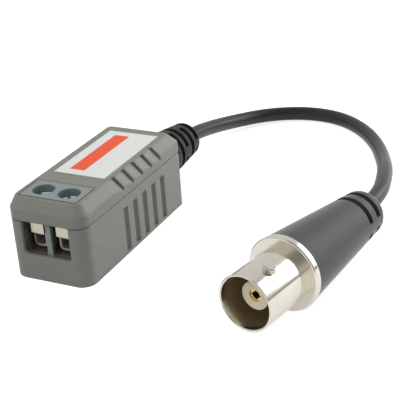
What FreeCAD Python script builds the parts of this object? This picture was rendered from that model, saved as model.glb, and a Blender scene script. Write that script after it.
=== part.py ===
import FreeCAD, Part
import math
import os

# Passive video balun: a two-shell housing with a two-way screw terminal at its front,
# a short coaxial lead out of its rear and a moulded bayonet jack on the lead's end.
# Millimetres. +X runs from the terminals to the lead, +Z is up, and the origin is at the
# middle of the housing's underside.

Vector = FreeCAD.Vector
X_AXIS = Vector(1, 0, 0)
Y_AXIS = Vector(0, 1, 0)
Z_AXIS = Vector(0, 0, 1)
ORIGIN = Vector(0, 0, 0)

# How closely edges are told apart, and how far a cutting shape reaches past what it cuts
tolerance = 0.001
cut_margin = 1.0

# Housing
housing_length = 35.6
housing_width = 15.3
housing_height = 15.0
seam_height = 10.9
seam_line_width = 0.2
seam_line_depth = 0.15
front_corner_radius = 2.5
rear_corner_radius = 1.6
shell_wall = 1.6
window_wall = 0.8
floor_thickness = 1.6
roof_thickness = 1.6
inner_corner_radius = 0.4
shoulder_height = 2.1
shoulder_side_inset = 1.2
shoulder_front_inset = 1.2
shoulder_rear_inset = 2.2
shoulder_rounding = 0.35
shoulder_foot_rounding = 0.6
lap_thickness = 0.75
lap_height = 1.0
lap_clearance = 0.05

# Grip grooves in the sides and the stepped scallops on the shoulders above them
groove_count = 5
groove_first_x = -4.0
groove_pitch = 3.38
groove_width = 1.5
groove_depth = 0.6
groove_top = 8.9
groove_bottom = 0.5
scallop_lead = 0.75
scallop_slant = 1.2
scallop_foot_reach = 0.85
scallop_depth = 0.5
scallop_rounding = 0.5

# Label
label_length = 19.5
label_width = 10.1
label_front_x = -6.2
label_shift_y = -0.3
label_thickness = 0.12

# Circuit board
board_thickness = 1.2
board_top = 4.0
board_front_gap = 0.25
board_side_gap = 0.2
board_rear_gap = 2.2
board_corner_radius = 0.6
rail_width = 1.0
lead_hole_clearance = 0.1
solder_radius = 0.75
solder_height = 0.7

# Two-way screw terminal
terminal_pitch = 5.08
block_side_gap = 0.5
block_front_gap = 0.4
nose_gap = 0.1
block_tower_depth = 5.85
block_shelf_depth = 1.6
block_recess = 0.05
block_shelf_drop = 2.7
block_cutout_gap = 0.15
cutout_side_gap = 0.25
cutout_rear_gap = 0.05
ledge_rounding = 0.4
screw_setback = 2.9
entry_width = 4.1
entry_floor = 4.85
entry_depth = 5.6
entry_mouth_depth = 1.8
window_side_margin = 0.06
window_sill_drop = 0.15
window_corner_radius = 0.8
window_rim_edge = 0.1

# Clamp screw, rising cage and contact of one way
head_radius = 1.85
head_thickness = 1.0
head_recess = 1.3
head_hole_gap = 0.15
head_slot_width = 0.6
head_slot_depth = 0.55
head_edge = 0.15
screw_slot_angles = (40, 65)
neck_clearance = 0.1
head_seat_gap = 0.03
shank_radius = 0.95
thread_clearance = 0.05
cage_width = 2.75
cage_front_reach = 3.5
cage_rear_reach = 2.0
cage_bottom = 5.45
cage_opening_height = 2.5
cage_nut_height = 1.9
cage_travel = 1.2
cage_top_gap = 0.15
cage_guide_gap = 0.15
cage_edge = 0.2
loop_front_setback = 0.8
loop_inset = 0.1
loop_side = 0.27
loop_thickness = 0.4
loop_outer_radius = 0.85
loop_inner_radius = 0.5
bar_thickness = 0.5
bar_width = 1.5
bar_cage_gap = 0.15
bar_front_setback = 0.8
bar_leg_gap = 1.2
bar_pocket_clearance = 0.03
bar_tail = 0.7

# Cable and its two moulded ends
cable_diameter = 3.0
cable_bore_clearance = 0.08
cable_axis_height = 6.6
relief_lean = -4.0
relief_neck_radius = 3.3
relief_neck_clearance = 0.05
relief_flange_radius = 4.7
relief_flange_thickness = 1.4
relief_tail_length = 15.0
relief_root_radius = 5.2
relief_tip_radius = 3.4
relief_tip_rounding = 1.2
relief_root_overlap = 0.6
relief_neck_bore_clearance = 0.2
relief_flare = 0.25
relief_flare_length = 4.0
relief_slot_count = 5
relief_slot_last = 13.3
relief_slot_pitch = 2.25
relief_slot_width = 1.25
relief_slot_half_angle = 75.0
relief_slot_core = 2.3
notch_half_width = 4.2

# Bayonet jack, lying with its flange on the surface that the housing stands on
jack_yaw = -11.6
jack_mouth_x = -22.6
jack_mouth_y = -38.35
barrel_radius = 4.8
barrel_length = 10.15
barrel_bore_radius = 4.4
barrel_bore_depth = 9.0
mouth_chamfer = 0.12
flange_radius = 6.42
flange_thickness = 1.4
flange_rounding = 0.3
lug_distance = 4.3
lug_radius = 1.1
lug_tip_radius = 5.5
lug_angle = 22.0
lug_rounding = 0.2
lug_overlap = 0.3
tail_radius = 4.2
tail_length = 6.0
tail_wall = 1.0
spigot_radius = 1.75
spigot_length = 8.0
spigot_wall = 0.8
contact_room_radius = 1.85
insulator_nose_radius = 2.37
insulator_recess = 2.8
insulator_shoulder_radius = 3.2
insulator_shoulder_length = 4.5
insulator_clearance = 0.02
contact_radius = 1.08
contact_setback = 0.3
contact_hole_radius = 0.675
contact_hole_depth = 5.0
contact_slot_width = 0.2
contact_slot_length = 3.6
contact_cup_depth = 1.5
core_radius = 0.75
core_wire_radius = 0.25
braid_thickness = 0.2
ferrule_wall = 0.45
ferrule_end_gap = 0.1
boot_root_radius = 6.3
boot_tip_radius = 3.95
boot_end = 36.2
boot_tip_rounding = 1.4
boot_flare = 0.3
boot_flare_length = 4.0
boot_slot_first = 30.0
boot_slot_pitch = 2.9
boot_slot_width = 1.25
boot_slot_half_angle = 78.0
boot_slot_core = 2.5

# Parts on the circuit board
toroid_block_gap = 0.4
toroid_outer_radius = 3.5
toroid_inner_radius = 1.75
toroid_height = 3.0
toroid_chamfer = 0.3
winding_turns = 6
winding_wire = 0.4
winding_gap = 0.02
suppressor_toroid_gap = 0.5
suppressor_edge_gap = 0.65
suppressor_length = 2.6
suppressor_width = 4.2
suppressor_height = 2.2
suppressor_chamfer = 0.25
capacitor_toroid_gap = 0.5
capacitor_edge_gap = 1.25
capacitor_radius = 2.0
capacitor_thickness = 1.6
capacitor_lift = 0.6
resistor_end_gap = 0.55
resistor_edge_gap = 1.45
resistor_radius = 0.8
resistor_length = 3.2
resistor_lead_span = 5.6
lead_radius = 0.25
core_tail_length = 3.0
braid_tail_radius = 0.45
braid_tail_y = 2.4

# Where things follow from the sizes above
half_length = housing_length / 2
half_width = housing_width / 2
shoulder_z = housing_height - shoulder_height
inner_half_length = half_length - shell_wall
inner_half_width = half_width - shell_wall
roof_underside = housing_height - roof_thickness
relief_flange_x = inner_half_length - relief_flange_thickness - relief_neck_clearance
board_front_x = -inner_half_length + board_front_gap
board_end_x = relief_flange_x - board_rear_gap
board_half_width = inner_half_width - board_side_gap
board_underside = board_top - board_thickness
block_half_width = inner_half_width - block_side_gap
block_front_x = -inner_half_length + block_front_gap
nose_x = -half_length + window_wall + nose_gap
block_tower_x = block_front_x + block_tower_depth
block_rear_x = block_tower_x + block_shelf_depth
cutout_rear_x = block_tower_x + cutout_rear_gap
block_top = housing_height - block_recess
screw_x = block_front_x + screw_setback
screw_y = terminal_pitch / 2
head_top = block_top - head_recess
head_bottom = head_top - head_thickness
head_seat = head_bottom - head_seat_gap
cage_front_x = screw_x - cage_front_reach
cage_rear_x = screw_x + cage_rear_reach
loop_front_x = cage_front_x + loop_front_setback
loop_floor = cage_bottom + loop_thickness
cage_opening_top = loop_floor + cage_opening_height
cage_top = cage_opening_top + cage_nut_height
bar_top = cage_opening_top - bar_cage_gap
bar_leg_x = cage_rear_x + bar_leg_gap
entry_top = cage_top + cage_travel + cage_top_gap
entry_rear_x = block_front_x + entry_depth
guide_x = block_front_x + entry_mouth_depth
window_half_width = screw_y + entry_width / 2 + window_side_margin
window_floor = entry_floor - window_sill_drop
winding_reach = toroid_outer_radius + winding_wire + winding_gap
toroid_x = block_rear_x + toroid_block_gap + winding_reach
toroid_rear_x = toroid_x + winding_reach
suppressor_x = toroid_rear_x + suppressor_toroid_gap + suppressor_length / 2
suppressor_y = board_half_width - suppressor_edge_gap - suppressor_width / 2
capacitor_x = toroid_rear_x + capacitor_toroid_gap + capacitor_thickness / 2
capacitor_y = capacitor_radius + capacitor_edge_gap - board_half_width
resistor_x = board_end_x - resistor_end_gap - resistor_lead_span / 2
resistor_y = resistor_radius + resistor_edge_gap - board_half_width
cable_radius = cable_diameter / 2
cable_bore_radius = cable_radius + cable_bore_clearance
spigot_bore_radius = spigot_radius - spigot_wall
relief_root = Vector(half_length, 0, cable_axis_height)
jack_mouth = Vector(jack_mouth_x, jack_mouth_y, flange_radius)
flange_rear = barrel_length + flange_thickness
tail_end = flange_rear + tail_length
spigot_end = tail_end + spigot_length
jacket_end = spigot_end + ferrule_end_gap

# Route of the cable, from inside the housing to inside the connector's boot
cable_inner_run = 8.5
cable_relief_run = 16.5
boot_exit_run = 4.3
loose_cable_points = [
    (43.5, -1.1, 4.65),
    (53.2, -2.5, 2.55),
    (60.6, -7.1, 1.8),
    (64.6, -14.6, 1.6),
    (64.0, -23.0, 1.6),
    (58.9, -30.2, 1.6),
    (51.1, -35.8, 1.9),
    (42.2, -39.8, 2.8),
    (32.0, -43.4, 4.95),
]
arc_share = 0.45


def box(low, high):
    size = Vector(*high) - Vector(*low)
    return Part.makeBox(size.x, size.y, size.z, Vector(*low))


def rod(radius, start, end):
    start = Vector(*start)
    reach = Vector(*end) - start
    return Part.makeCylinder(radius, reach.Length, start, reach)


def rounded_outline(front, rear, half, front_radius, rear_radius, z):
    """Closed wire of a rectangle in plan, with its own radius at the front and rear corners."""
    def bend(cx, cy, radius, start):
        circle = Part.Circle(Vector(cx, cy, z), Z_AXIS, radius)
        return Part.Arc(circle, math.radians(start), math.radians(start + 90)).toShape()

    front_bend = front + front_radius
    rear_bend = rear - rear_radius
    edges = [
        Part.makeLine(Vector(front_bend, -half, z), Vector(rear_bend, -half, z)),
        bend(rear_bend, -half + rear_radius, rear_radius, 270),
        Part.makeLine(Vector(rear, -half + rear_radius, z), Vector(rear, half - rear_radius, z)),
        bend(rear_bend, half - rear_radius, rear_radius, 0),
        Part.makeLine(Vector(rear_bend, half, z), Vector(front_bend, half, z)),
        bend(front_bend, half - front_radius, front_radius, 90),
        Part.makeLine(Vector(front, half - front_radius, z), Vector(front, -half + front_radius, z)),
        bend(front_bend, -half + front_radius, front_radius, 180),
    ]
    return Part.Wire(edges)


def housing_prism(inset, bottom, top):
    """Upright prism with the housing's plan, pulled in by the inset all round."""
    outline = rounded_outline(
        -half_length + inset,
        half_length - inset,
        half_width - inset,
        max(front_corner_radius - inset, inner_corner_radius),
        max(rear_corner_radius - inset, inner_corner_radius),
        bottom,
    )
    return Part.Face(outline).extrude(Vector(0, 0, top - bottom))


def turned(profile):
    """Solid of revolution about X from (x, radius) points, closed by the first point."""
    points = [Vector(x, 0, r) for x, r in profile]
    face = Part.Face(Part.makePolygon(points + points[:1]))
    return face.revolve(ORIGIN, X_AXIS, 360)


def ring_sector(start, width, inner, outer, centre, half_angle):
    """Part of a ring about X. Angles start at the top and grow towards -Y."""
    corners = [(start, inner), (start + width, inner), (start + width, outer), (start, outer)]
    points = [Vector(x, 0, r) for x, r in corners]
    face = Part.Face(Part.makePolygon(points + points[:1]))
    face.rotate(ORIGIN, X_AXIS, centre - half_angle)
    return face.revolve(ORIGIN, X_AXIS, 2 * half_angle)


def rounded(shape, radius, chosen):
    """Fillet of the edges that the test picks."""
    return shape.makeFillet(radius, [edge for edge in shape.Edges if chosen(edge)])


def chamfered(shape, size, chosen):
    """Chamfer of the edges that the test picks."""
    return shape.makeChamfer(size, [edge for edge in shape.Edges if chosen(edge)])


def level_at(edge, z):
    """True for an edge that lies level at this height."""
    span = edge.BoundBox
    return abs(span.ZMax - z) < tolerance and span.ZLength < tolerance


def along_x(edge, z):
    """True for a straight edge along X at this height."""
    return level_at(edge, z) and edge.BoundBox.YLength < tolerance


def bent_wire(points, radius):
    """Round wire along straight runs with mitred corners. Its first run is upright."""
    section = Part.Wire(Part.makeCircle(radius, points[0], Z_AXIS))
    return Part.makePolygon(points).makePipeShell([section], True, False, 1)


def circle_at(edge, x, radius):
    """True for a circle about the X axis at this place and of this radius."""
    curve = edge.Curve
    if curve.TypeId != "Part::GeomCircle":
        return False
    on_axis = math.hypot(curve.Center.y, curve.Center.z) < tolerance
    return on_axis and abs(curve.Center.x - x) < tolerance and abs(curve.Radius - radius) < tolerance


def on_relief(shape):
    """From the tail's own axis to its leaning place on the housing's rear face."""
    shape.rotate(ORIGIN, Z_AXIS, relief_lean)
    shape.translate(relief_root)
    return shape


def on_jack(shape):
    """From the jack's own axis, with the mouth at X 0, to where the jack lies."""
    shape.rotate(ORIGIN, Z_AXIS, jack_yaw)
    shape.translate(jack_mouth)
    return shape


def jack_point(distance):
    yaw = math.radians(jack_yaw)
    return jack_mouth + Vector(math.cos(yaw), math.sin(yaw), 0) * distance


def housing_blank():
    """Outer form of both shells together: a prism with a sloping shoulder all round."""
    prism = housing_prism(0, 0, shoulder_z)
    low = rounded_outline(
        -half_length, half_length, half_width, front_corner_radius, rear_corner_radius, shoulder_z
    )
    high = rounded_outline(
        -half_length + shoulder_front_inset,
        half_length - shoulder_rear_inset,
        half_width - shoulder_side_inset,
        front_corner_radius - shoulder_side_inset,
        rear_corner_radius - shoulder_side_inset / 2,
        housing_height,
    )
    shoulder = Part.makeLoft([low, high], True, True)
    shoulder = rounded(shoulder, shoulder_rounding, lambda e: level_at(e, housing_height))
    blank = prism.fuse(shoulder)
    return rounded(blank, shoulder_foot_rounding, lambda e: level_at(e, shoulder_z))


def seam_line():
    """Fine groove round the outside where the two shells meet."""
    low = seam_height - seam_line_width / 2
    high = seam_height + seam_line_width / 2
    return housing_prism(-cut_margin, low, high).cut(housing_prism(seam_line_depth, low, high))


def groove_x(number):
    return groove_first_x + number * groove_pitch


def groove_cutters():
    """Upright grip grooves on both sides, hollow in section and square at their ends."""
    half = groove_width / 2
    radius = (half ** 2 + groove_depth ** 2) / (2 * groove_depth)
    reach = half_width - groove_depth + radius
    cutters = []
    for y in (-reach, reach):
        for x in map(groove_x, range(groove_count)):
            cutters.append(rod(radius, (x, y, groove_bottom), (x, y, groove_top)))
    return cutters


def scallop_cutter(number):
    """Scoop that deepens rearwards to a slanting wall, on the -Y shoulder above a groove.

    It is drawn lying flat, with X along the housing, Y down the slope and Z into it.
    """
    rear = groove_x(number) - scallop_lead
    front = rear - groove_pitch
    floor_radius = (groove_pitch ** 2 + scallop_depth ** 2) / (2 * scallop_depth)
    half_pitch = groove_pitch / 2
    half_way_depth = floor_radius - math.sqrt(floor_radius ** 2 - half_pitch ** 2)
    start = Vector(front, 0, 0)
    deepest = Vector(rear, 0, scallop_depth)
    floor = Part.Arc(start, Vector(front + half_pitch, 0, half_way_depth), deepest).toShape()
    open_side = Part.makePolygon(
        [deepest, Vector(rear, 0, -shoulder_height), Vector(front, 0, -shoulder_height), start]
    )
    slope_length = math.hypot(shoulder_side_inset, shoulder_height)
    run = Vector(scallop_slant, slope_length + scallop_foot_reach, 0)
    cutter = Part.Face(Part.Wire([floor] + open_side.Edges)).extrude(run)
    cutter = rounded(
        cutter,
        scallop_rounding,
        lambda e: e.BoundBox.XMin > rear - tolerance and e.BoundBox.ZLength > scallop_depth,
    )
    slope_angle = math.degrees(math.atan2(-shoulder_height, -shoulder_side_inset))
    cutter.rotate(ORIGIN, X_AXIS, slope_angle)
    cutter.translate(Vector(0, shoulder_side_inset - half_width, housing_height))
    return cutter


def scallop_cutters():
    """The stepped scallops of both shoulders."""
    near = [scallop_cutter(number) for number in range(groove_count)]
    return near + [cutter.mirror(ORIGIN, Y_AXIS) for cutter in near]


def window_cutter():
    """Wire window in the front wall, open to the seam, with rounded lower corners."""
    low = (-half_length - cut_margin, -window_half_width, window_floor)
    high = (-inner_half_length + cut_margin, window_half_width, seam_height)
    return rounded(box(low, high), window_corner_radius, lambda e: along_x(e, window_floor))


def on_window_rim(edge):
    """True for the edges round the window on the housing's front face."""
    span = edge.BoundBox
    on_front = abs(span.XMin + half_length) < tolerance and span.XLength < tolerance
    reach = max(-span.YMin, span.YMax)
    return on_front and reach < window_half_width + tolerance and span.ZMin > window_floor - tolerance


def front_pocket():
    """Room for the terminal's nose behind the window, which thins the front wall there."""
    half = block_half_width + block_cutout_gap
    low = (-half_length + window_wall, -half, board_top - block_cutout_gap)
    return box(low, (-inner_half_length + cut_margin, half, entry_top))


def neck_hole():
    """Round hole through the rear wall for the strain relief's neck."""
    radius = relief_neck_radius + relief_neck_clearance
    start = (inner_half_length, 0, cable_axis_height)
    return rod(radius, start, (half_length, 0, cable_axis_height))


def notch_cutter():
    """Rear wall notch that the neck drops into: half round below, wider above the axis."""
    low = (inner_half_length, -notch_half_width, cable_axis_height)
    return neck_hole().fuse(box(low, (half_length, notch_half_width, seam_height)))


def lap_ring(outer_inset, bottom, top):
    """The half of the wall that laps at the seam, along the sides and rear."""
    ring = housing_prism(outer_inset, bottom, top).cut(housing_prism(shell_wall, bottom, top))
    front = -inner_half_length + front_corner_radius
    keep = box((front, -half_width, bottom), (half_length, half_width, top))
    return ring.common(keep)


def make_lower_shell():
    shell = housing_prism(0, 0, seam_height)
    shell = shell.cut(window_cutter())
    shell = chamfered(shell, window_rim_edge, on_window_rim)
    shell = shell.cut(housing_prism(shell_wall, floor_thickness, seam_height))
    shell = shell.cut([front_pocket(), notch_cutter(), seam_line()] + groove_cutters())
    lap_inset = shell_wall - lap_thickness - lap_clearance
    shell = shell.cut(lap_ring(lap_inset, seam_height - lap_height, seam_height))
    for side in (-1, 1):
        low_y, high_y = sorted((side * inner_half_width, side * (inner_half_width - rail_width)))
        rail = box((board_front_x, low_y, floor_thickness), (board_end_x, high_y, board_underside))
        shell = shell.fuse(rail)
    return shell.removeSplitter()


def make_upper_shell():
    low = (-half_length, -half_width, seam_height)
    cap = housing_blank().common(box(low, (half_length, half_width, housing_height)))
    cap = cap.cut(scallop_cutters())
    cap = cap.cut([shell_cavity(), roof_cutout(), front_pocket(), seam_line()])
    cap = rounded(cap, ledge_rounding, on_ledge)
    lap_bottom = seam_height - lap_height + lap_clearance
    cap = cap.fuse([lap_ring(shell_wall - lap_thickness, lap_bottom, seam_height), notch_tab()])
    cap = cap.cut(neck_hole())
    return cap.removeSplitter()


def roof_cutout():
    """Opening in the roof for the terminal's tower."""
    half = block_half_width + cutout_side_gap
    high = (cutout_rear_x, half, housing_height + cut_margin)
    return box((-inner_half_length, -half, seam_height), high)


def on_ledge(edge):
    """True for the roof's edge behind the terminal."""
    span = edge.BoundBox
    across = abs(span.XMax - cutout_rear_x) < tolerance and span.XLength < tolerance
    return across and level_at(edge, housing_height)


def shell_cavity():
    """Space under the roof: straight to the shoulder, then drawn in with it."""
    knee_z = roof_underside - shoulder_height * 2 / 3
    straight = housing_prism(shell_wall, seam_height - lap_height, knee_z)
    front_corner = max(front_corner_radius - shell_wall, inner_corner_radius)
    corner = max(rear_corner_radius - shell_wall, inner_corner_radius)
    low = rounded_outline(
        -inner_half_length, inner_half_length, inner_half_width, front_corner, corner, knee_z
    )
    high = rounded_outline(
        -inner_half_length + shoulder_front_inset / 2,
        inner_half_length - shoulder_rear_inset / 2,
        inner_half_width - shoulder_side_inset * 3 / 4,
        front_corner,
        corner,
        roof_underside,
    )
    return straight.fuse(Part.makeLoft([low, high], True, True))


def notch_tab():
    """Tongue of the upper shell that closes the rear notch over the neck."""
    width = notch_half_width - lap_clearance
    low = (inner_half_length, -width, cable_axis_height + lap_clearance)
    return box(low, (half_length, width, seam_height))


def make_label():
    front_right = Vector(label_front_x, label_shift_y - label_width / 2, housing_height)
    return Part.makeBox(label_length, label_width, label_thickness, front_right)


def way_y(number):
    return (-1, 1)[number] * screw_y


def make_terminal_block():
    """Moulding of both ways: the tower, a nose behind the window and a low rear shelf."""
    half = block_half_width
    tower = box((block_front_x, -half, board_top), (block_tower_x, half, block_top))
    nose = box((nose_x, -half, board_top), (block_front_x, half, seam_height - block_cutout_gap))
    shelf = box((block_tower_x, -half, board_top), (block_rear_x, half, block_top - block_shelf_drop))
    block = tower.fuse([nose, shelf]).removeSplitter()
    for number in range(2):
        block = block.cut(way_cutters(way_y(number)))
    return block.removeSplitter()


def way_cutters(y):
    """Hollow of one way: wire entry, cage guide, head hole, neck hole and contact pocket."""
    entry_half = entry_width / 2
    entry = box((nose_x - cut_margin, y - entry_half, entry_floor), (guide_x, y + entry_half, entry_top))
    entry = rounded(entry, window_corner_radius, lambda e: along_x(e, entry_floor))
    guide_half = cage_width / 2 + cage_guide_gap
    guide = box((guide_x, y - guide_half, entry_floor), (entry_rear_x, y + guide_half, entry_top))
    head_hole = rod(head_radius + head_hole_gap, (screw_x, y, head_seat), (screw_x, y, housing_height))
    neck_hole = rod(shank_radius + neck_clearance, (screw_x, y, cage_top), (screw_x, y, head_seat))
    pocket = contact_blank(y, bar_pocket_clearance)
    return [entry, guide, head_hole, neck_hole, pocket]


def contact_blank(y, grown):
    """Angled strip: a flat bar through the cage and a leg down through the board."""
    half = bar_width / 2 + grown
    rear = bar_leg_x + bar_thickness + grown
    bar_low = (cage_front_x + bar_front_setback, y - half, bar_top - bar_thickness - grown)
    bar = box(bar_low, (rear, y + half, bar_top + grown))
    leg_low = (bar_leg_x - grown, y - half / 2, board_underside - bar_tail)
    leg = box(leg_low, (rear, y + half / 2, bar_top))
    return bar.fuse(leg)


def make_contact(number):
    return contact_blank(way_y(number), 0).removeSplitter()


def make_screw(number):
    """Slotted clamp screw with its tip just above the contact bar."""
    y = way_y(number)
    tip_z = bar_top + bar_cage_gap / 2
    head = rod(head_radius, (screw_x, y, head_bottom), (screw_x, y, head_top))
    shank = rod(shank_radius, (screw_x, y, tip_z), (screw_x, y, head_bottom))
    screw = head.fuse(shank)
    screw = chamfered(screw, head_edge, lambda e: level_at(e, tip_z) or level_at(e, head_top))
    slot = box(
        (screw_x - 2 * head_radius, y - head_slot_width / 2, head_top - head_slot_depth),
        (screw_x + 2 * head_radius, y + head_slot_width / 2, housing_height),
    )
    slot.rotate(Vector(screw_x, y, 0), Z_AXIS, screw_slot_angles[number])
    return screw.cut(slot).removeSplitter()


def make_cage(number):
    """Rising clamp: a threaded bridge with a narrower bent loop hanging under it."""
    y = way_y(number)
    half = cage_width / 2
    bridge = box((cage_front_x, y - half, cage_opening_top), (cage_rear_x, y + half, cage_top))
    bridge = rounded(bridge, cage_edge, lambda e: e.BoundBox.ZLength > cage_nut_height / 2)
    outer = half - loop_inset
    loop = box((loop_front_x, y - outer, cage_bottom), (cage_rear_x, y + outer, cage_opening_top))
    loop = rounded(loop, loop_outer_radius, lambda e: along_x(e, cage_bottom))
    inner = outer - loop_side
    opening = box((loop_front_x, y - inner, loop_floor), (cage_rear_x, y + inner, cage_opening_top))
    opening = rounded(opening, loop_inner_radius, lambda e: along_x(e, loop_floor))
    thread = rod(shank_radius + thread_clearance, (screw_x, y, cage_opening_top), (screw_x, y, cage_top))
    return bridge.cut(thread).fuse(loop.cut(opening)).removeSplitter()


def capacitor_leads():
    half = capacitor_radius / 2
    return [(capacitor_x, capacitor_y - half), (capacitor_x, capacitor_y + half)]


def resistor_leads():
    half = resistor_lead_span / 2
    return [(resistor_x - half, resistor_y), (resistor_x + half, resistor_y)]


def make_board():
    low = (board_front_x, -board_half_width, board_underside)
    board = box(low, (board_end_x, board_half_width, board_top))
    board = rounded(
        board,
        board_corner_radius,
        lambda e: e.BoundBox.ZLength > board_thickness / 2 and e.BoundBox.XMax < screw_x,
    )
    legs = [contact_blank(way_y(number), lead_hole_clearance) for number in range(2)]
    hole_radius = lead_radius + lead_hole_clearance
    holes = [rod(hole_radius, (x, y, 0), (x, y, board_top)) for x, y in capacitor_leads() + resistor_leads()]
    return board.cut(legs + holes)


def make_solder_joints():
    """Solder cones under the board, one round each leg and lead."""
    cones = []
    for number in range(2):
        x = bar_leg_x + bar_thickness / 2
        cones.append(solder_cone(x, way_y(number)).cut(contact_blank(way_y(number), 0)))
    for x, y in capacitor_leads() + resistor_leads():
        wire = rod(lead_radius, (x, y, 0), (x, y, board_top))
        cones.append(solder_cone(x, y).cut(wire))
    return Part.makeCompound(cones)


def solder_cone(x, y):
    tip_z = board_underside - solder_height
    return Part.makeCone(solder_radius / 2, solder_radius, solder_height, Vector(x, y, tip_z), Z_AXIS)


def make_toroid_core():
    floor_z = board_top + winding_wire
    core = rod(toroid_outer_radius, (toroid_x, 0, floor_z), (toroid_x, 0, floor_z + toroid_height))
    core = core.cut(rod(toroid_inner_radius, (toroid_x, 0, 0), (toroid_x, 0, housing_height)))
    return chamfered(core, toroid_chamfer, lambda e: e.BoundBox.ZLength < tolerance)


def make_winding(phase):
    """One strand of the two-strand winding: a wire led round the ring, both ends on the board."""
    step = 360 / winding_turns
    lead = winding_wire / 2
    near = toroid_inner_radius - lead - winding_gap
    far = toroid_outer_radius + lead + winding_gap
    low = board_top + lead
    high = board_top + winding_wire + toroid_height + lead + winding_gap

    def place(radius, turn, z):
        angle = math.radians((turn + phase) * step)
        return Vector(toroid_x + radius * math.cos(angle), radius * math.sin(angle), z)

    points = []
    last = winding_turns - 1
    for turn in range(last):
        half_way = turn + 1 / 2
        points += [place(near, turn, low), place(near, turn, high)]
        points += [place(far, half_way, high), place(far, half_way, low)]
    points[0].z = board_top
    points[-1].z = board_top
    return bent_wire(points, lead)


def make_suppressor():
    corner = Vector(suppressor_x - suppressor_length / 2, suppressor_y - suppressor_width / 2, board_top)
    body = Part.makeBox(suppressor_length, suppressor_width, suppressor_height, corner)
    return chamfered(body, suppressor_chamfer, lambda e: level_at(e, board_top + suppressor_height))


def make_capacitor():
    """Disc on edge across the board, with its two leads."""
    centre_z = board_top + capacitor_lift + capacitor_radius
    half = capacitor_thickness / 2
    front = (capacitor_x - half, capacitor_y, centre_z)
    disc = rod(capacitor_radius, front, (capacitor_x + half, capacitor_y, centre_z))
    disc = chamfered(disc, half / 2, lambda e: e.BoundBox.XLength < tolerance)
    foot_z = board_underside - solder_height
    leads = [rod(lead_radius, (x, y, foot_z), (x, y, centre_z)) for x, y in capacitor_leads()]
    return disc.fuse(leads).removeSplitter()


def make_resistor():
    """Axial resistor lying along the board, on a wire bent down into it at both ends."""
    z = board_top + resistor_radius
    half = resistor_length / 2
    body = rod(resistor_radius, (resistor_x - half, resistor_y, z), (resistor_x + half, resistor_y, z))
    body = chamfered(body, resistor_radius / 3, lambda e: e.BoundBox.XLength < tolerance)
    (front, y), (rear, y) = resistor_leads()
    foot_z = board_underside - solder_height
    route = [Vector(front, y, foot_z), Vector(front, y, z), Vector(rear, y, z), Vector(rear, y, foot_z)]
    return body.fuse(bent_wire(route, lead_radius)).removeSplitter()


def make_strain_relief():
    """Moulded relief: inner flange, neck in the rear wall, and a slotted tail that leans."""
    neck_front = inner_half_length - relief_neck_clearance
    neck_start = (neck_front, 0, cable_axis_height)
    flange = rod(relief_flange_radius, (relief_flange_x, 0, cable_axis_height), neck_start)
    neck = rod(relief_neck_radius, neck_start, (half_length, 0, cable_axis_height))
    root_slope = (relief_root_radius - relief_tip_radius) / relief_tail_length
    root_radius = relief_root_radius + root_slope * relief_root_overlap
    tail = turned(
        [
            (-relief_root_overlap, 0),
            (-relief_root_overlap, root_radius),
            (relief_tail_length, relief_tip_radius),
            (relief_tail_length, 0),
        ]
    )
    tail = rounded(tail, relief_tip_rounding, lambda e: circle_at(e, relief_tail_length, relief_tip_radius))
    for row in range(relief_slot_count):
        start = relief_slot_last - row * relief_slot_pitch - relief_slot_width / 2
        for turn in (0, 180):
            centre = turn + (row % 2) * 90
            reach = 2 * relief_root_radius
            span = relief_slot_half_angle
            tail = tail.cut(ring_sector(start, relief_slot_width, relief_slot_core, reach, centre, span))
    tail = on_relief(tail)
    tail = tail.cut(box((0, -housing_width, 0), (half_length, housing_width, housing_height)))
    relief = flange.fuse(neck).fuse(tail)
    bore_start = (half_length - cable_inner_run, 0, cable_axis_height)
    neck_bore_radius = cable_radius + relief_neck_bore_clearance
    straight_bore = rod(neck_bore_radius, bore_start, (half_length, 0, cable_axis_height))
    leaning_bore = turned(
        [
            (-relief_root_overlap, 0),
            (-relief_root_overlap, cable_bore_radius),
            (relief_tail_length - relief_flare_length, cable_bore_radius),
            (relief_tail_length, cable_bore_radius + relief_flare),
            (relief_tail_length + cut_margin, cable_bore_radius + relief_flare),
            (relief_tail_length + cut_margin, 0),
        ]
    )
    return relief.cut(straight_bore).cut(on_relief(leaning_bore)).removeSplitter()


def cable_route():
    lean = math.radians(relief_lean)
    bend = Vector(relief_root)
    start = bend - X_AXIS * cable_inner_run
    relief_out = bend + Vector(math.cos(lean), math.sin(lean), 0) * cable_relief_run
    boot_out = jack_point(boot_end + boot_exit_run)
    end = jack_point(jacket_end)
    return [start, bend, relief_out] + [Vector(*p) for p in loose_cable_points] + [boot_out, end]


def rounded_path(points):
    """Straight runs joined by tangent arcs, each as large as its two runs allow."""
    edges = []
    radii = []
    here = points[0]
    for before, corner, after in zip(points, points[1:], points[2:]):
        inward = (corner - before).normalize()
        outward = (after - corner).normalize()
        turn = inward.getAngle(outward)
        trim = arc_share * min((corner - before).Length, (after - corner).Length)
        radius = trim / math.tan(turn / 2)
        radii.append(radius)
        arc_start = corner - inward * trim
        arc_end = corner + outward * trim
        to_centre = (outward - inward).normalize()
        centre = corner + to_centre * (radius / math.cos(turn / 2))
        middle = centre - to_centre * radius
        edges.append(Part.LineSegment(here, arc_start).toShape())
        edges.append(Part.Arc(arc_start, middle, arc_end).toShape())
        here = arc_end
    edges.append(Part.LineSegment(here, points[-1]).toShape())
    return Part.Wire(edges), radii


def make_cable():
    points = cable_route()
    path, radii = rounded_path(points)
    heading = points[1] - points[0]
    section = Part.Wire(Part.makeCircle(cable_radius, points[0], heading))
    tube = path.makePipeShell([section], True, True)
    expected = math.pi * cable_radius ** 2 * path.Length
    print("cable length", round(path.Length, 1), "radii", [round(r, 1) for r in radii])
    print("cable volume", round(tube.Volume, 2), "section times length", round(expected, 2))
    return tube


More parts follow.
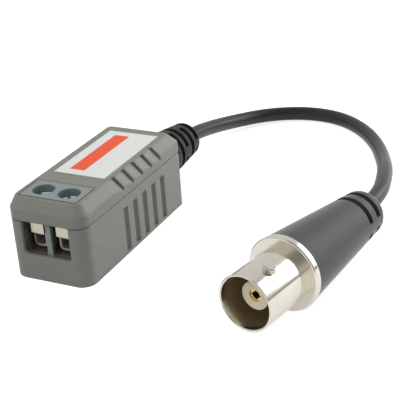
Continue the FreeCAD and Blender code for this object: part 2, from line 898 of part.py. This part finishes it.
def make_core_tail():
    """Stripped centre core inside the housing, from the jacket's end down to the board."""
    start = cable_route()[0]
    reach = Vector(-core_tail_length, 0, 0)
    drop = start + reach
    level = rod(core_radius, tuple(start), tuple(drop))
    knee = Part.makeSphere(core_radius, drop)
    down = rod(core_radius, tuple(drop), (drop.x, drop.y, board_top))
    return level.fuse(knee).fuse(down).removeSplitter()


def make_braid_tail():
    """Twisted shield, gathered to one side and soldered down on the board."""
    start = cable_route()[0]
    root = start + Vector(0, cable_radius - braid_tail_radius, 0)
    side = Vector(root.x - core_tail_length / 2, braid_tail_y, cable_axis_height)
    foot = Vector(side.x, side.y, board_top)
    path = rod(braid_tail_radius, tuple(root), tuple(side))
    path = path.fuse(Part.makeSphere(braid_tail_radius, side))
    path = path.fuse(rod(braid_tail_radius, tuple(side), tuple(foot)))
    past_end = box((start.x, -half_width, 0), (start.x + core_tail_length, half_width, housing_height))
    return path.cut(past_end).cut(make_core_tail()).removeSplitter()


def make_jack_shell():
    """Turned shell: barrel with its mouth, flange, tail and crimp spigot, and two bayonet lugs."""
    outer = turned(
        [
            (0, 0),
            (0, barrel_radius - mouth_chamfer),
            (mouth_chamfer, barrel_radius),
            (barrel_length, barrel_radius),
            (barrel_length, flange_radius),
            (flange_rear, flange_radius),
            (flange_rear, tail_radius),
            (tail_end, tail_radius),
            (tail_end, spigot_radius),
            (spigot_end, spigot_radius),
            (spigot_end, 0),
        ]
    )
    outer = rounded(
        outer,
        flange_rounding,
        lambda e: circle_at(e, barrel_length, flange_radius) or circle_at(e, flange_rear, flange_radius),
    )
    for turn in (0, 180):
        foot = (lug_distance, 0, barrel_radius - lug_overlap)
        lug = rod(lug_radius, foot, (lug_distance, 0, lug_tip_radius))
        lug = rounded(lug, lug_rounding, lambda e: e.BoundBox.ZMin > lug_tip_radius - tolerance)
        lug.rotate(ORIGIN, X_AXIS, lug_angle + turn)
        outer = outer.fuse(lug)
    insulator_end = barrel_bore_depth + insulator_shoulder_length
    inner = turned(
        [
            (-mouth_chamfer, 0),
            (-mouth_chamfer, barrel_bore_radius + 2 * mouth_chamfer),
            (mouth_chamfer, barrel_bore_radius),
            (barrel_bore_depth, barrel_bore_radius),
            (barrel_bore_depth, insulator_shoulder_radius + insulator_clearance),
            (insulator_end, insulator_shoulder_radius + insulator_clearance),
            (insulator_end, contact_room_radius),
            (tail_end - tail_wall, contact_room_radius),
            (tail_end - tail_wall, spigot_bore_radius),
            (spigot_end + cut_margin, spigot_bore_radius),
            (spigot_end + cut_margin, 0),
        ]
    )
    return on_jack(outer.cut(inner).removeSplitter())


def make_insulator():
    insulator_end = barrel_bore_depth + insulator_shoulder_length
    body = turned(
        [
            (insulator_recess, contact_radius + insulator_clearance),
            (insulator_recess, insulator_nose_radius),
            (barrel_bore_depth, insulator_nose_radius),
            (barrel_bore_depth, insulator_shoulder_radius),
            (insulator_end, insulator_shoulder_radius),
            (insulator_end, contact_radius + insulator_clearance),
        ]
    )
    return on_jack(body)


def make_centre_contact():
    """Gold socket: a split sleeve for the mating pin and a cup for the centre wire."""
    front = insulator_recess + contact_setback
    rear = barrel_bore_depth + insulator_shoulder_length + contact_cup_depth
    body = rod(contact_radius, (front, 0, 0), (rear, 0, 0))
    body = body.cut(rod(contact_hole_radius, (front, 0, 0), (front + contact_hole_depth, 0, 0)))
    half = contact_slot_width / 2
    reach = 2 * contact_radius
    for half_y, half_z in ((half, reach), (reach, half)):
        body = body.cut(box((front, -half_y, -half_z), (front + contact_slot_length, half_y, half_z)))
    cup_radius = core_wire_radius + insulator_clearance
    body = body.cut(rod(cup_radius, (rear - contact_cup_depth, 0, 0), (rear, 0, 0)))
    return on_jack(body.removeSplitter())


def make_plug_core():
    """Cable core from the jacket's end to the contact's cup."""
    cup_rear = barrel_bore_depth + insulator_shoulder_length + contact_cup_depth
    return on_jack(rod(core_radius, (cup_rear, 0, 0), (jacket_end, 0, 0)))


def make_plug_wire():
    """Centre wire in the contact's cup, bared from the core."""
    cup_rear = barrel_bore_depth + insulator_shoulder_length + contact_cup_depth
    return on_jack(rod(core_wire_radius, (cup_rear - contact_cup_depth, 0, 0), (cup_rear, 0, 0)))


def make_plug_braid():
    """Shield folded back over the spigot."""
    outer = rod(spigot_radius + braid_thickness, (tail_end, 0, 0), (jacket_end, 0, 0))
    inner = rod(spigot_radius, (tail_end, 0, 0), (jacket_end, 0, 0))
    return on_jack(outer.cut(inner))


def make_ferrule():
    outer = rod(spigot_radius + braid_thickness + ferrule_wall, (tail_end, 0, 0), (jacket_end, 0, 0))
    inner = rod(spigot_radius + braid_thickness, (tail_end, 0, 0), (jacket_end, 0, 0))
    return on_jack(outer.cut(inner))


def make_boot():
    """Moulded tapered boot with two rows of flex slots near its tip."""
    boot = turned(
        [(flange_rear, 0), (flange_rear, boot_root_radius), (boot_end, boot_tip_radius), (boot_end, 0)]
    )
    boot = rounded(boot, boot_tip_rounding, lambda e: circle_at(e, boot_end, boot_tip_radius))
    for row in range(2):
        start = boot_slot_first + row * boot_slot_pitch
        for centre in (0, 180):
            sector = ring_sector(
                start, boot_slot_width, boot_slot_core, 2 * boot_root_radius, centre, boot_slot_half_angle
            )
            boot = boot.cut(sector)
    ferrule_radius = spigot_radius + braid_thickness + ferrule_wall
    hollow = turned(
        [
            (flange_rear, 0),
            (flange_rear, tail_radius),
            (tail_end, tail_radius),
            (tail_end, ferrule_radius),
            (jacket_end, ferrule_radius),
            (jacket_end, cable_bore_radius),
            (boot_end - boot_flare_length, cable_bore_radius),
            (boot_end, cable_bore_radius + boot_flare),
            (boot_end + cut_margin, cable_bore_radius + boot_flare),
            (boot_end + cut_margin, 0),
        ]
    )
    return on_jack(boot.cut(hollow).removeSplitter())


def save(node, shape):
    shape.exportStep(os.path.join("parts", node + ".step"))
    print(node, "solids", len(shape.Solids), "volume", round(shape.Volume, 2), "valid", shape.isValid())


def main():
    os.makedirs("parts", exist_ok=True)
    save("lower_shell", make_lower_shell())
    save("upper_shell", make_upper_shell())
    save("label", make_label())
    save("terminal_block", make_terminal_block())
    for number in range(2):
        way = str(number + 1)
        save("terminal_screw_" + way, make_screw(number))
        save("clamp_cage_" + way, make_cage(number))
        save("contact_bar_" + way, make_contact(number))
    save("circuit_board", make_board())
    save("solder_joints", make_solder_joints())
    save("toroid_core", make_toroid_core())
    save("winding_a", make_winding(0))
    save("winding_b", make_winding(0.5))
    save("surge_suppressor", make_suppressor())
    save("capacitor", make_capacitor())
    save("resistor", make_resistor())
    save("strain_relief", make_strain_relief())
    save("cable", make_cable())
    save("core_tail", make_core_tail())
    save("braid_tail", make_braid_tail())
    save("jack_shell", make_jack_shell())
    save("jack_insulator", make_insulator())
    save("centre_contact", make_centre_contact())
    save("plug_core", make_plug_core())
    save("plug_wire", make_plug_wire())
    save("plug_braid", make_plug_braid())
    save("crimp_ferrule", make_ferrule())
    save("connector_boot", make_boot())


main()
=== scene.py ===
import math

import bpy
from mathutils import Matrix, Vector


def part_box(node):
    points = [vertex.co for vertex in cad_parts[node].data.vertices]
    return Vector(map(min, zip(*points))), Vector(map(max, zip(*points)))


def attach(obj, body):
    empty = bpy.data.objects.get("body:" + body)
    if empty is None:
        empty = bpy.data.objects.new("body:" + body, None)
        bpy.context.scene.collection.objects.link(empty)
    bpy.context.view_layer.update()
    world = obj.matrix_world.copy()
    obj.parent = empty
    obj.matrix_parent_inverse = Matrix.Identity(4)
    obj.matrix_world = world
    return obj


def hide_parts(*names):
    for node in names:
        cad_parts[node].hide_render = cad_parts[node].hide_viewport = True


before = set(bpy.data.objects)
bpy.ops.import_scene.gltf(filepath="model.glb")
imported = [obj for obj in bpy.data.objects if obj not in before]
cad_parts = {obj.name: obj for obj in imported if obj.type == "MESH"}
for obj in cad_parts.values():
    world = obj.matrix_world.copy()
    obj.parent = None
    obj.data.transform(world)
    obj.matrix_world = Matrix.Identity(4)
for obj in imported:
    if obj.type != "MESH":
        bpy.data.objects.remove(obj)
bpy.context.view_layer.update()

MM = 0.001
BODY = "housing"

# Camera, from the photograph's own perspective
camera_azimuth = math.radians(-62.25)
camera_elevation = math.radians(25.71)
camera_roll = math.radians(-4.14)
camera_distance = 206.5 * MM
camera_target = Vector((19.21, -10.19, 0.0)) * MM
camera_near = camera_distance / 20
camera_far = camera_distance * 40
sensor_width = 36.0
camera_lens = 95.7

# Floor and light of the surroundings; the floor glows brighter far from the object
floor_reach = 2.0
floor_drop = 0.02 * MM
floor_colour = (0.55, 0.55, 0.55)
floor_roughness = 0.9
floor_glow = 0.76
far_floor_glow = 0.95
far_floor_span = (0.3, 0.7)
world_light = 0.3

# What reflections see: a sky that is dark at the horizon on the -Y side, and round one direction
reflected_floor = 0.5
reflected_sky = 0.75
reflected_horizon = 0.05
horizon_top = 0.16
beside_span = (-0.7, -0.45)
dark_side = Vector((-0.15, -0.5, 0.85))
dark_side_span = (0.55, 0.8)

# Lamps: name, direction seen from the target, distance, width and power
key_lamp = ("rear_key", (0.64, -0.6, 0.44), 0.3, 0.22, 0.36)
soft_lamps = [
    ("front_fill", (-0.56, 0.33, 0.76), 0.6, 0.35, 1.35),
    ("rear_fill", (0.75, -0.6, 0.3), 0.2, 0.15, 0.3),
    ("camera_fill", (-0.75, -0.5, 0.45), 0.6, 0.35, 0.35),
    ("overhead", (-0.1, -0.05, 1.0), 0.6, 0.35, 0.66),
]

# Mouldings: colour, roughness, specular level, waves of grain in a metre and the grain's depth
mouldings = {
    "grey_abs": ((0.195, 0.198, 0.176), 0.48, 0.5, 9000, 0.012 * MM),
    "terminal_grey": ((0.21, 0.243, 0.227), 0.42, 0.5, 9000, 0.008 * MM),
    "label_film": ((0.68, 0.7, 0.68), 0.5, 0.35, 7000, 0.003 * MM),
    "relief_rubber": ((0.022, 0.023, 0.022), 0.5, 0.22, 12000, 0.006 * MM),
    "cable_jacket": ((0.014, 0.014, 0.013), 0.34, 0.38, 12000, 0.006 * MM),
    "boot_rubber": ((0.044, 0.045, 0.041), 0.48, 0.32, 12000, 0.006 * MM),
    "insulator_white": ((0.85, 0.785, 0.6), 0.4, 0.5, 8000, 0.005 * MM),
    "core_plastic": ((0.72, 0.72, 0.68), 0.45, 0.5, 8000, 0.005 * MM),
    "board_mask": ((0.03, 0.16, 0.07), 0.35, 0.5, 6000, 0.005 * MM),
    "ferrite_grey": ((0.05, 0.05, 0.052), 0.6, 0.5, 7000, 0.02 * MM),
    "component_black": ((0.02, 0.02, 0.02), 0.45, 0.5, 9000, 0.006 * MM),
    "component_dip": ((0.6, 0.33, 0.1), 0.35, 0.5, 5000, 0.01 * MM),
}
moulded_tint = 0.05
label_tint = 0.02
moulded_gloss_change = 0.06
moulded_bump = 0.35
moulded_waves_in_cloud = 8
housing_edge_rounding = 0.5 * MM
boot_sheen = 0.4
boot_sheen_roughness = 0.35

# Metals: colour, roughness, and the share of bare metal, less under a dull coating
metals = {
    "bright_nickel": ((0.62, 0.57, 0.46), 0.24, 1.0),
    "tarnished_nickel": ((0.62, 0.5, 0.42), 0.5, 0.3),
    "cage_nickel": ((0.56, 0.525, 0.435), 0.26, 1.0),
    "jack_nickel": ((0.74, 0.7, 0.62), 0.14, 1.0),
    "screw_zinc": ((0.72, 0.85, 0.84), 0.5, 0.4),
    "gold_plate": ((0.85, 0.6, 0.22), 0.22, 1.0),
    "copper_wire": ((0.72, 0.36, 0.2), 0.3, 1.0),
    "solder_alloy": ((0.6, 0.6, 0.6), 0.35, 1.0),
}
metal_tints = (-0.04, 0.03)
metal_gloss_change = 0.04
metal_bump = 0.2
metal_grain = 4000
metal_depth = 0.004 * MM
metal_waves_in_cloud = 10

# Clouds and grain: where the darker and the lighter tint start, and the noise of both
tint_stops = (0.3, 0.7)
noise_detail = 3.0
noise_roughness = 0.55

# Label's bar: its colour, and where it lies on the film
bar_orange = (0.79, 0.088, 0.032)
bar_along = (-4.4 * MM, 11.6 * MM)
bar_across = (-0.3 * MM, 2.7 * MM)

# Screw terminal: the wire entries under the roof, and the screws' holes, both with painted shade
entry_top = 11.6 * MM
entry_fade = (0.1 * MM, 0.9 * MM)
entry_shade_dark = (0.035, 0.026, 0.022)
entry_shade_pale = (0.11, 0.08, 0.068)
entry_cloud_grain = 900
entry_cloud_stops = (0.42, 0.62)
entry_side_share = 0.8
divider_half = 0.56 * MM
head_hole_radius = 2.03 * MM
head_hole_fade = (0.5 * MM, 0.05 * MM)
hole_shade_teal = (0.11, 0.145, 0.145)

# Clamp cages: the bright flats at the top, and the loops under them, whose paler, less metallic
# finish is painted shade
cage_flat_height = 1.9 * MM
loop_shade_colour = (0.6, 0.56, 0.5)
loop_share = 0.8

# Bayonet jack: where its axis starts, how it lies, and the finish down its bore
jack_mouth = Vector((-22.6, -38.35, 6.42)) * MM
jack_yaw = math.radians(-11.6)
jack_bore_radius = 4.5 * MM
jack_bore_fade = (0.2 * MM, 2.5 * MM)
bore_brown = (0.56, 0.475, 0.35)
bore_dullness = 0.4

# Cable route: control points in millimetres, the same as the solid's
cable_radius = 1.5 * MM
cable_steps_along = 16
cable_steps_round = 6
cable_points = [
    (9.3, 0.0, 6.6),
    (17.8, 0.0, 6.6),
    (34.26, -1.151, 6.6),
    (43.5, -1.1, 4.65),
    (53.2, -2.5, 2.55),
    (60.6, -7.1, 1.8),
    (64.6, -14.6, 1.6),
    (64.0, -23.0, 1.6),
    (58.9, -30.2, 1.6),
    (51.1, -35.8, 1.9),
    (42.2, -39.8, 2.8),
    (32.0, -43.4, 4.95),
    (17.07, -46.49, 6.42),
    (2.43, -43.49, 6.42),
]


def placed(thing_name, data):
    """A new object with this data, in the scene."""
    thing = bpy.data.objects.new(thing_name, data)
    bpy.context.scene.collection.objects.link(thing)
    return thing


def add_camera():
    """Camera that looks at the target from its azimuth and elevation, with a slight roll."""
    a, e, r = camera_azimuth, camera_elevation, camera_roll
    back = Vector((math.sin(a) * math.cos(e), -math.cos(a) * math.cos(e), math.sin(e)))
    right = Vector((math.cos(a), math.sin(a), 0))
    up = back.cross(right)
    side = right * math.cos(r) + up * math.sin(r)
    top = up * math.cos(r) - right * math.sin(r)
    data = bpy.data.cameras.new("camera")
    data.sensor_width = sensor_width
    data.lens = camera_lens
    data.clip_start = camera_near
    data.clip_end = camera_far
    camera = placed("camera", data)
    turn = Matrix((side, top, back)).transposed().to_4x4()
    camera.matrix_world = Matrix.Translation(camera_target + back * camera_distance) @ turn
    bpy.context.scene.camera = camera


# Node helpers

def new_material(name):
    """A new material, its node tree and its shader."""
    material = bpy.data.materials.new(name)
    material.use_nodes = True
    return material, material.node_tree, principled(material)


def principled(material):
    return material.node_tree.nodes["Principled BSDF"]


def link(tree, source, target):
    tree.links.new(source, target)


def source_of(socket):
    """The output that feeds a socket."""
    return socket.links[0].from_socket


def object_coordinates(tree):
    return tree.nodes.new("ShaderNodeTexCoord").outputs["Object"]


def split(tree, vector):
    """The three parts of a vector."""
    node = tree.nodes.new("ShaderNodeSeparateXYZ")
    link(tree, vector, node.inputs["Vector"])
    return node.outputs


def noise(tree, scale):
    """Noise in object space, with the scale in waves per metre."""
    node = tree.nodes.new("ShaderNodeTexNoise")
    node.inputs["Scale"].default_value = scale
    node.inputs["Detail"].default_value = noise_detail
    node.inputs["Roughness"].default_value = noise_roughness
    link(tree, object_coordinates(tree), node.inputs["Vector"])
    return node.outputs["Fac"]


def ramp(tree, source, places, colours):
    """Colour ramp with one place for each colour."""
    node = tree.nodes.new("ShaderNodeValToRGB")
    link(tree, source, node.inputs["Fac"])
    for element, place, colour in zip(node.color_ramp.elements, places, colours):
        element.position = place
        element.color = (*colour, 1)
    return node.outputs["Color"]


def scaled(tree, source, low, high, from_low=0.0, from_high=1.0):
    """The source's range turned into another, and held at its ends."""
    node = tree.nodes.new("ShaderNodeMapRange")
    link(tree, source, node.inputs["Value"])
    node.inputs["From Min"].default_value = from_low
    node.inputs["From Max"].default_value = from_high
    node.inputs["To Min"].default_value = low
    node.inputs["To Max"].default_value = high
    return node.outputs["Result"]


def worked(tree, operation, *values):
    """Math node; each value is a number or an output."""
    node = tree.nodes.new("ShaderNodeMath")
    node.operation = operation
    for socket, value in zip(node.inputs, values):
        if isinstance(value, (int, float)):
            socket.default_value = value
        else:
            link(tree, value, socket)
    return node.outputs["Value"]


def both(tree, *masks):
    """The product of two masks, 1 where both are."""
    return worked(tree, "MULTIPLY", *masks)


def either(tree, *masks):
    """The larger of two masks or levels."""
    return worked(tree, "MAXIMUM", *masks)


def squares_added(tree, *values):
    return worked(tree, "ADD", *(worked(tree, "POWER", value, 2.0) for value in values))


def within(tree, value, low, high):
    """Mask that is 1 where the value lies between the two."""
    return worked(tree, "COMPARE", value, (low + high) / 2, (high - low) / 2)


def near_axis(tree, place, node, radius):
    """Mask that is 1 within this distance of the upright axis of a piece."""
    low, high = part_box(node)
    from_middle = [
        worked(tree, "SUBTRACT", place[axis], (low[number] + high[number]) / 2)
        for number, axis in enumerate(("X", "Y"))
    ]
    return worked(tree, "LESS_THAN", squares_added(tree, *from_middle), radius ** 2)


def mixed(tree, mask, colour, masked_colour):
    """The first colour, and the second where the mask is 1."""
    node = tree.nodes.new("ShaderNodeMix")
    node.data_type = "RGBA"
    link(tree, mask, node.inputs["Factor"])
    for name, value in (("A", colour), ("B", masked_colour)):
        socket = next(s for s in node.inputs if s.name == name and s.type == "RGBA")
        if isinstance(value, tuple):
            socket.default_value = (*value, 1)
        else:
            link(tree, value, socket)
    return next(s for s in node.outputs if s.type == "RGBA")


def stain(material, mask, colour):
    """Changes the base colour where the mask is 1."""
    tree, base = material.node_tree, principled(material).inputs["Base Color"]
    link(tree, mixed(tree, mask, source_of(base), colour), base)


def varied(colour, share):
    return tuple(min(1.0, c * (1 + share)) for c in colour)


def uneven(name, colour, tints, roughness, gloss_change, grain, cloud, depth, strength):
    """A material with tinted clouds, uneven gloss and a fine grain, and the grain's bump node."""
    material, tree, shader = new_material(name)
    colours = [varied(colour, tint) for tint in tints]
    base = ramp(tree, noise(tree, cloud), tint_stops, colours)
    link(tree, base, shader.inputs["Base Color"])
    fine = noise(tree, grain)
    gloss = scaled(tree, fine, roughness - gloss_change, roughness + gloss_change)
    link(tree, gloss, shader.inputs["Roughness"])
    bump = tree.nodes.new("ShaderNodeBump")
    bump.inputs["Strength"].default_value = strength
    bump.inputs["Distance"].default_value = depth
    link(tree, fine, bump.inputs["Height"])
    link(tree, bump.outputs["Normal"], shader.inputs["Normal"])
    return material, bump


def moulded(name, tint=moulded_tint, rounding=None):
    """Moulded plastic or rubber; a rounding shades the sharp edges as if they had this radius."""
    colour, roughness, specular, grain, depth = mouldings[name]
    cloud = grain / moulded_waves_in_cloud
    material, bump = uneven(
        name, colour, (-tint, tint), roughness, moulded_gloss_change, grain, cloud, depth,
        moulded_bump,
    )
    principled(material).inputs["Specular IOR Level"].default_value = specular
    if rounding:
        tree = material.node_tree
        bevel = tree.nodes.new("ShaderNodeBevel")
        bevel.inputs["Radius"].default_value = rounding
        link(tree, bevel.outputs["Normal"], bump.inputs["Normal"])
    return material


def metal(name):
    """Plated or bare metal."""
    colour, roughness, share = metals[name]
    cloud = metal_grain / metal_waves_in_cloud
    material, _ = uneven(
        name, colour, metal_tints, roughness, metal_gloss_change, metal_grain, cloud, metal_depth,
        metal_bump,
    )
    principled(material).inputs["Metallic"].default_value = share
    return material


# Finishes

def terminal_plastic():
    """Grey-blue moulding, with painted shade inside the wire entries and down the screws' holes.
    """
    material = moulded("terminal_grey")
    tree = material.node_tree
    place = split(tree, object_coordinates(tree))
    low_corner, high_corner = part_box("terminal_block")
    front, roof = low_corner[0], high_corner[2]

    # Painted shade: a mottled dark brown inside the wire entries and on the front beside the
    # divider, below the entries' top
    deep = scaled(tree, place["X"], 0.0, 1.0, front + entry_fade[0], front + entry_fade[1])
    low = worked(tree, "LESS_THAN", place["Z"], entry_top)
    aside = worked(tree, "GREATER_THAN", worked(tree, "ABSOLUTE", place["Y"]), divider_half)
    entry_shade_mask = both(tree, low, either(tree, deep, both(tree, aside, entry_side_share)))
    entry_shade_noise = noise(tree, entry_cloud_grain)
    entry_shade = ramp(tree, entry_shade_noise, entry_cloud_stops, (entry_shade_dark, entry_shade_pale))
    stain(material, entry_shade_mask, entry_shade)

    # Painted shade: the screws' hole walls go dark teal from just under the roof down to the
    # entries' top
    sunk = scaled(tree, place["Z"], 1.0, 0.0, roof - head_hole_fade[0], roof - head_hole_fade[1])
    holes = [
        near_axis(tree, place, "terminal_screw_" + way, head_hole_radius) for way in ("1", "2")
    ]
    hole = both(tree, sunk, either(tree, *holes))
    stain(material, both(tree, hole, worked(tree, "SUBTRACT", 1.0, low)), hole_shade_teal)
    return material


def cage_metal():
    """Nickel of the clamp cages; the loops under the bright flats get a paler, less metallic
    finish, which is painted shade.
    """
    material = metal("cage_nickel")
    tree = material.node_tree
    flat_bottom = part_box("clamp_cage_1")[1][2] - cage_flat_height
    height = split(tree, object_coordinates(tree))["Z"]
    # Painted shade: below the flats the loops turn paler and partly matt, which sets how dim they
    # show
    low = worked(tree, "LESS_THAN", height, flat_bottom)
    link(tree, scaled(tree, low, 1.0, loop_share), principled(material).inputs["Metallic"])
    stain(material, low, loop_shade_colour)
    return material


def label_film():
    """White satin film with its plain orange bar."""
    material = moulded("label_film", label_tint)
    tree = material.node_tree
    place = split(tree, object_coordinates(tree))
    along = within(tree, place["X"], *bar_along)
    across = within(tree, place["Y"], *bar_across)
    stain(material, both(tree, along, across), bar_orange)
    return material


def jack_metal():
    """Nickel of the jack, duller and browner down inside the barrel."""
    material = metal("jack_nickel")
    tree = material.node_tree
    turn = tree.nodes.new("ShaderNodeMapping")
    turn.vector_type = "TEXTURE"
    turn.inputs["Location"].default_value = jack_mouth
    turn.inputs["Rotation"].default_value = (0, 0, jack_yaw)
    link(tree, object_coordinates(tree), turn.inputs["Vector"])
    place = split(tree, turn.outputs["Vector"])
    radius = worked(tree, "SQRT", squares_added(tree, place["Y"], place["Z"]))
    inside = worked(tree, "LESS_THAN", radius, jack_bore_radius)
    bore = both(tree, inside, scaled(tree, place["X"], 0.0, 1.0, *jack_bore_fade))
    stain(material, bore, bore_brown)
    gloss = principled(material).inputs["Roughness"]
    dulled = worked(tree, "ADD", source_of(gloss), worked(tree, "MULTIPLY", bore, bore_dullness))
    link(tree, dulled, gloss)
    return material


def boot_rubber():
    """Matt rubber that is paler at a grazing angle."""
    material = moulded("boot_rubber")
    principled(material).inputs["Sheen Weight"].default_value = boot_sheen
    principled(material).inputs["Sheen Roughness"].default_value = boot_sheen_roughness
    return material


def finish_nodes(jacket):
    """Gives every carried-over node its material."""
    finishes = {
        moulded("grey_abs", rounding=housing_edge_rounding): ["lower_shell", "upper_shell"],
        terminal_plastic(): ["terminal_block"],
        moulded("relief_rubber"): ["strain_relief"],
        jacket: ["cable"],
        boot_rubber(): ["connector_boot"],
        cage_metal(): ["clamp_cage_1", "clamp_cage_2"],
        metal("bright_nickel"): ["crimp_ferrule"],
        metal("tarnished_nickel"): ["contact_bar_1", "contact_bar_2"],
        metal("screw_zinc"): ["terminal_screw_1", "terminal_screw_2"],
        jack_metal(): ["jack_shell"],
        metal("gold_plate"): ["centre_contact"],
        metal("copper_wire"): ["winding_a", "winding_b", "braid_tail", "plug_braid", "plug_wire"],
        metal("solder_alloy"): ["solder_joints"],
        moulded("insulator_white"): ["jack_insulator"],
        moulded("core_plastic"): ["core_tail", "plug_core"],
        moulded("board_mask"): ["circuit_board"],
        moulded("ferrite_grey"): ["toroid_core"],
        moulded("component_black"): ["surge_suppressor"],
        moulded("component_dip"): ["capacitor", "resistor"],
        label_film(): ["label"],
    }
    for material, nodes in finishes.items():
        for node in nodes:
            paint(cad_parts[node], material)


def paint(piece, material):
    if not piece.material_slots:
        piece.data.materials.append(material)
    for slot in piece.material_slots:
        slot.material = material


def add_cable(jacket):
    """The lead, as one smooth curve with the route's points as its control points."""
    curve = bpy.data.curves.new("coax_lead", "CURVE")
    curve.dimensions = "3D"
    spline = curve.splines.new("NURBS")
    spline.points.add(len(cable_points) - 1)
    for point, place in zip(spline.points, cable_points):
        point.co = (*(Vector(place) * MM), 1)
    spline.order_u = 3
    spline.use_endpoint_u = True
    spline.resolution_u = cable_steps_along
    curve.bevel_depth = cable_radius
    curve.bevel_resolution = cable_steps_round
    curve.use_fill_caps = True
    curve.materials.append(jacket)
    lead = placed("coax_lead", curve)
    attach(lead, BODY)
    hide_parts("cable")


# Surroundings

def add_floor():
    """Plain pale floor that shows as white, with the object's soft shadow kept."""
    mesh = bpy.data.meshes.new("floor")
    signs = ((-1, -1), (1, -1), (1, 1), (-1, 1))
    corners = [(x * floor_reach, y * floor_reach, 0) for x, y in signs]
    mesh.from_pydata(corners, [], [(0, 1, 2, 3)])
    floor = placed("floor", mesh)
    floor.location.z = -floor_drop
    material, tree, shader = new_material("floor_white")
    shader.inputs["Base Color"].default_value = (*floor_colour, 1)
    shader.inputs["Roughness"].default_value = floor_roughness
    shader.inputs["Specular IOR Level"].default_value = 0.0
    shader.inputs["Emission Color"].default_value = (1, 1, 1, 1)
    rays = tree.nodes.new("ShaderNodeLightPath").outputs
    away = tree.nodes.new("ShaderNodeVectorMath")
    away.operation = "LENGTH"
    link(tree, object_coordinates(tree), away.inputs[0])
    glow = scaled(tree, away.outputs["Value"], floor_glow, far_floor_glow, *far_floor_span)
    plain = worked(tree, "MULTIPLY", rays["Is Camera Ray"], glow)
    mirrored = worked(tree, "MULTIPLY", rays["Is Glossy Ray"], reflected_floor)
    link(tree, worked(tree, "ADD", plain, mirrored), shader.inputs["Emission Strength"])
    mesh.materials.append(material)


def studio_sky(tree, rays):
    """White for the camera. Reflections see it dark at the -Y horizon and round one direction."""
    heading = tree.nodes.new("ShaderNodeTexCoord").outputs["Generated"]
    parts = split(tree, heading)
    strip = scaled(tree, parts["Z"], reflected_horizon, reflected_sky, 0.0, horizon_top)
    beside = scaled(tree, parts["Y"], 0.0, reflected_sky, *beside_span)
    toward = tree.nodes.new("ShaderNodeVectorMath")
    toward.operation = "DOT_PRODUCT"
    link(tree, heading, toward.inputs[0])
    toward.inputs[1].default_value = dark_side
    shaded = scaled(tree, toward.outputs["Value"], 1.0, 0.0, *dark_side_span)
    mirrored = worked(tree, "MULTIPLY", either(tree, strip, beside), shaded)
    plain = either(tree, rays["Is Camera Ray"], rays["Is Transmission Ray"])
    return either(tree, plain, mirrored)


def add_world():
    """The studio sky where it is seen directly, and a plain level of light on the object."""
    world = bpy.data.worlds.new("studio")
    bpy.context.scene.world = world
    world.use_nodes = True
    tree = world.node_tree
    sky = tree.nodes["Background"]
    sky.inputs["Color"].default_value = (1, 1, 1, 1)
    rays = tree.nodes.new("ShaderNodeLightPath").outputs
    direct = either(tree, rays["Is Camera Ray"], rays["Is Glossy Ray"])
    direct = either(tree, direct, rays["Is Transmission Ray"])
    seen = worked(tree, "MULTIPLY", direct, studio_sky(tree, rays))
    link(tree, either(tree, seen, world_light), sky.inputs["Strength"])


def add_area(name, direction, distance, size, power):
    """Square lamp that faces the target from a direction."""
    data = bpy.data.lights.new(name, "AREA")
    data.size = size
    data.energy = power
    lamp = placed(name, data)
    outward = Vector(direction).normalized()
    lamp.location = camera_target + outward * distance
    lamp.rotation_euler = outward.to_track_quat("Z", "Y").to_euler()
    return lamp


def add_lights():
    """One lamp that shows in reflections, and soft ones that don't."""
    add_area(*key_lamp)
    for settings in soft_lamps:
        add_area(*settings).visible_glossy = False


add_camera()
cable_jacket = moulded("cable_jacket")
add_cable(cable_jacket)
finish_nodes(cable_jacket)
add_floor()
add_world()
add_lights()
bpy.context.scene.view_settings.view_transform = "Standard"
